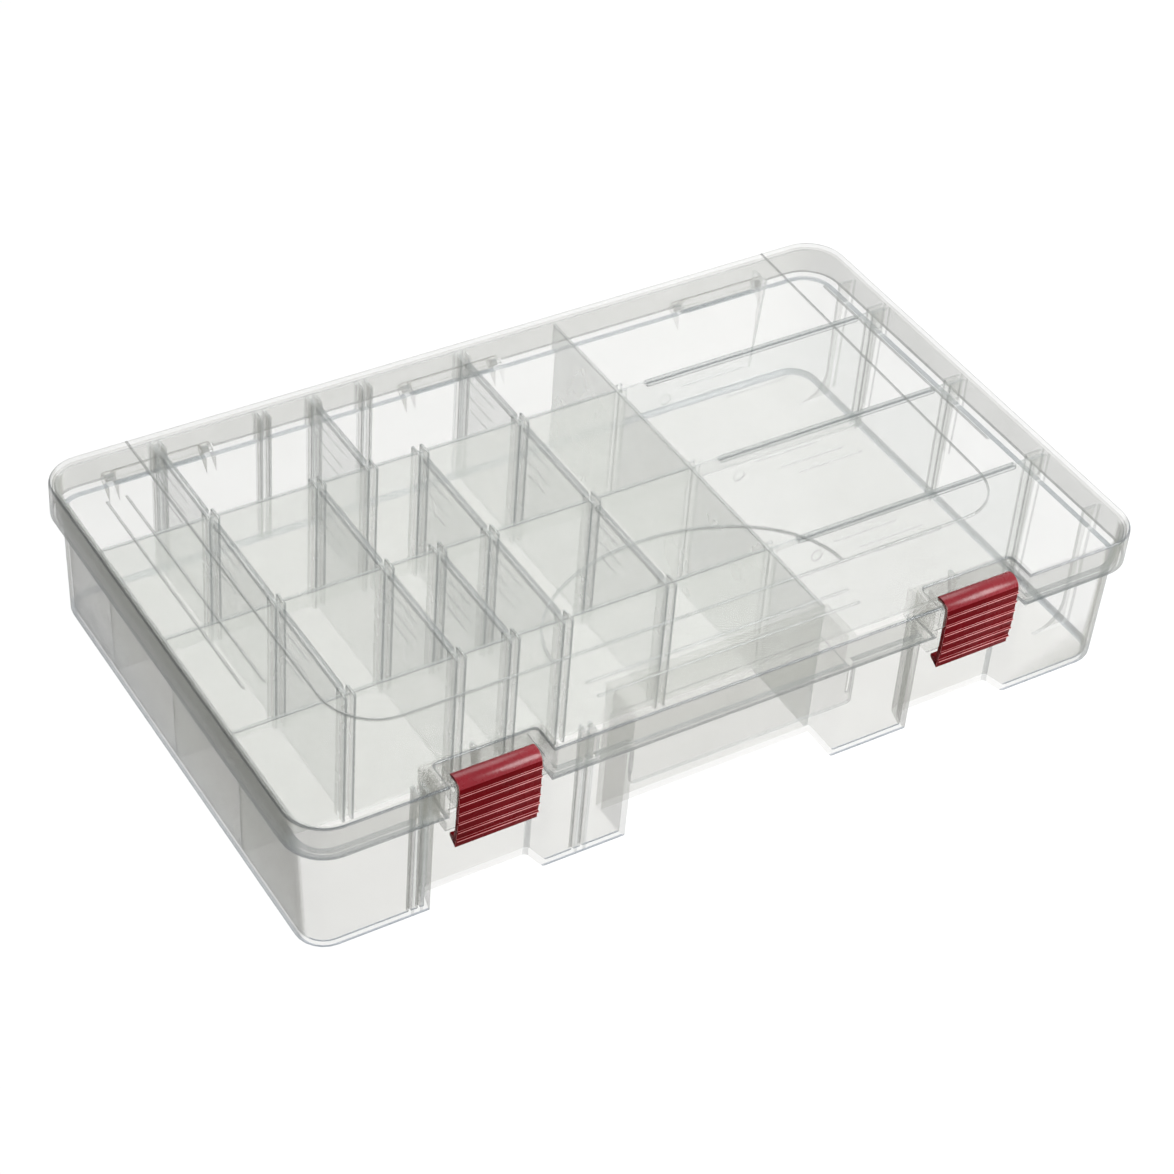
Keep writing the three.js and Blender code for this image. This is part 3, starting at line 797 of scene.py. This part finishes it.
# A face this narrow in millimetres, or narrower, is an edge strip, or a rib or wall top.
STRIP_W = 0.62
RIB_W = 1.75


def off_hinge(face):
    middle = face.calc_center_median() - at(0, HINGE_Y, HINGE_Z)
    return math.hypot(middle.y, middle.z) > 3.3 * MM


def strips(face):
    return narrow(face, STRIP_W) and off_hinge(face)


def ribs_and_tops(face):
    return narrow(face, RIB_W) and off_hinge(face)


def lid_sides(face):
    return abs(face.normal.z) < 0.9


def raised_lines(face):
    return face.calc_center_median().z > (LID_TOP_Z + 0.05) * MM


def tray_floor(face):
    return face.calc_center_median().z < 0.002 and abs(face.normal.z) > 0.9


def foot_line(face):
    """The rounded foot of the tray: all of it outside, and along the front inside."""
    middle, up = face.calc_center_median(), face.normal.z
    inside = 0.0016 < middle.z < 0.0034 and 0.1 < up < 0.99 and middle.y < at(0, -98, 0).y
    return middle.z < 0.0021 and -0.99 < up < -0.05 or inside


def ledges(face):
    return abs(face.normal.z) > 0.9 and 0.047 < face.calc_center_median().z < 0.0496


def wall_ends(face):
    left_end = face.normal.x < -0.9 and face.calc_center_median().x < -0.165
    return left_end or abs(face.normal.y) > 0.9 and narrow(face, 1.7)


def divider_tops(face):
    return strips(face) and face.calc_center_median().z > 0.0585


def lid_rim_line(face):
    return narrow(face, STRIP_W) and 0.5 < face.normal.z < 0.97


def barrel(face):
    return face.calc_center_median().z > at(0, 0, ROLL_Z + 0.4).z and face.normal.z > 0.35


def wall_crown(face):
    return narrow(face, STRIP_W) and face.calc_center_median().z > 0.0605


def crests(face):
    return narrow(face, 0.45) and face.normal.y < -0.4


def skirt_edges(face):
    return face.normal.z < -0.9 and face.calc_center_median().z < 0.0500


def add(piece, body, slot, *nodes):
    """No piece darkens the floor under it, and light passes through the clear ones."""
    piece.visible_shadow = False
    piece.visible_diffuse = slot == "latch_red"
    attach(piece, body)
    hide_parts(*nodes)


def build():
    room = tray_room(0)
    tray = smooth(clear_tray(room))
    dress(tray, TRAY_CLEAR, (FLOOR_CLEAR, tray_floor), (LEDGE_SHADE, ledges), (RIB_SHADE, ribs_and_tops),
          (EDGE_SHADE, strips), (FOOT_SHADE, foot_line))
    add(tray, "tray", "tray_clear", "base_tray")
    bpy.data.objects.remove(room)

    room = tray_room(0.05)
    for i in range(3):
        wall = smooth(row_wall(i, room))
        dress(wall, WALL_CLEAR, (RIB_SHADE, ribs_and_tops), (EDGE_SHADE, wall_crown), (EDGE_SHADE, wall_ends))
        add(wall, "tray", "tray_clear", "row_wall_%d" % (i + 1))
    wall = smooth(long_wall(room))
    dress(wall, MAIN_CLEAR, (RIB_SHADE, ribs_and_tops), (EDGE_SHADE, wall_crown))
    add(wall, "tray", "tray_clear", "main_wall")
    bpy.data.objects.remove(room)

    lid = smooth(clear_lid())
    dress(lid, LID_CLEAR, (SKIRT_SHADE, lid_sides), (EDGE_SHADE, lid_rim_line), (EDGE_SHADE, skirt_edges),
          (RIDGE_SHADE, raised_lines))
    add(lid, "lid", "lid_clear", "lid")

    for row, slots in SHORT_ROWS.items():
        first = smooth(short_divider(row))
        dress(first, DIVIDER_CLEAR, (RIB_SHADE, ribs_and_tops), (EDGE_SHADE, divider_tops))
        for k, slot in enumerate(slots):
            name = "short_divider_%d_%d" % (row, k + 1)
            if k == 0:
                piece = first
                piece.name = name
            else:
                piece = copy_of(first, name, SLOT_X[slot] - SLOT_X[slots[0]])
            add(piece, "tray", "divider_clear", "divider_row%d_%d" % (row, k + 1))

    first = smooth(long_divider())
    dress(first, DIVIDER_CLEAR, (RIB_SHADE, ribs_and_tops), (EDGE_SHADE, divider_tops))
    for k, y in enumerate(ROW_Y):
        name = "long_divider_%d_clear" % (k + 1)
        if k == 0:
            piece = first
            piece.name = name
        else:
            piece = copy_of(first, name, 0, y - ROW_Y[0])
        add(piece, "tray", "divider_clear", "long_divider_%d" % (k + 1))

    for side, cx in (("left", -LATCH_X), ("right", LATCH_X)):
        latch = red_latch("red_latch_" + side, cx)
        # The barrel finish is a painted highlight on the barrel's upper faces, and the crest finish a painted
        # highlight on the ridge crests.
        dress(latch, BURGUNDY, (BARREL_HIGHLIGHT, barrel), (CREST_HIGHLIGHT, crests))
        add(latch, "latch_" + side, "latch_red", "latch_" + side)


# ---------- studio ----------

def camera():
    a, e = CAMERA_AZIMUTH, CAMERA_ELEVATION
    back = Vector((math.sin(a) * math.cos(e), -math.cos(a) * math.cos(e), math.sin(e)))
    data = bpy.data.cameras.new("camera")
    data.lens = CAMERA_LENS
    cam = bpy.data.objects.new("camera", data)
    bpy.context.collection.objects.link(cam)
    cam.location = CAMERA_AIM + back * CAMERA_DISTANCE
    turn = back.to_track_quat("Z", "Y").to_matrix().to_4x4() @ Matrix.Rotation(CAMERA_ROLL, 4, "Z")
    cam.rotation_euler = turn.to_euler()
    bpy.context.scene.camera = cam


def floor():
    take()
    bpy.ops.mesh.primitive_plane_add(size=12, location=(0, 0, -0.0005))
    plane = settle(bpy.context.object)
    plane.name = "floor"
    mat = bpy.data.materials.new("pale floor")
    mat.use_nodes = True
    shader = mat.node_tree.nodes["Principled BSDF"]
    shader.inputs["Base Color"].default_value = (0.70, 0.70, 0.70, 1)
    shader.inputs["Roughness"].default_value = 0.9
    shader.inputs["Specular IOR Level"].default_value = 0.1
    plane.data.materials.append(mat)


def light(name, where, size, power):
    data = bpy.data.lights.new(name, "AREA")
    data.shape = "SQUARE"
    data.size = size
    data.energy = power
    lamp = bpy.data.objects.new(name, data)
    bpy.context.collection.objects.link(lamp)
    lamp.location = where
    lamp.rotation_euler = (Vector((0, 0, 0.03)) - Vector(where)).to_track_quat("-Z", "Y").to_euler()


def studio():
    floor()
    light("key", (1.3, -1.4, 1.4), 1.2, 62)
    light("back", (0.6, 2.0, 2.8), 2.4, 70)
    world = bpy.data.worlds.new("studio")
    bpy.context.scene.world = world
    world.use_nodes = True
    nodes, links = world.node_tree.nodes, world.node_tree.links
    nodes["Background"].inputs["Color"].default_value = (1, 1, 1, 1)
    where = nodes.new("ShaderNodeTexCoord")
    split = nodes.new("ShaderNodeSeparateXYZ")
    dim = nodes.new("ShaderNodeMapRange")
    dim.inputs["From Min"].default_value = -0.8
    dim.inputs["From Max"].default_value = 0.6
    dim.inputs["To Min"].default_value = 0.08
    dim.inputs["To Max"].default_value = 0.9
    links.new(where.outputs["Generated"], split.inputs["Vector"])
    links.new(split.outputs["X"], dim.inputs["Value"])
    links.new(dim.outputs["Result"], nodes["Background"].inputs["Strength"])
    scene = bpy.context.scene
    scene.view_settings.view_transform = "Standard"
    scene.cycles.transparent_max_bounces = 64
    scene.cycles.max_bounces = 8


camera()
build()
studio()
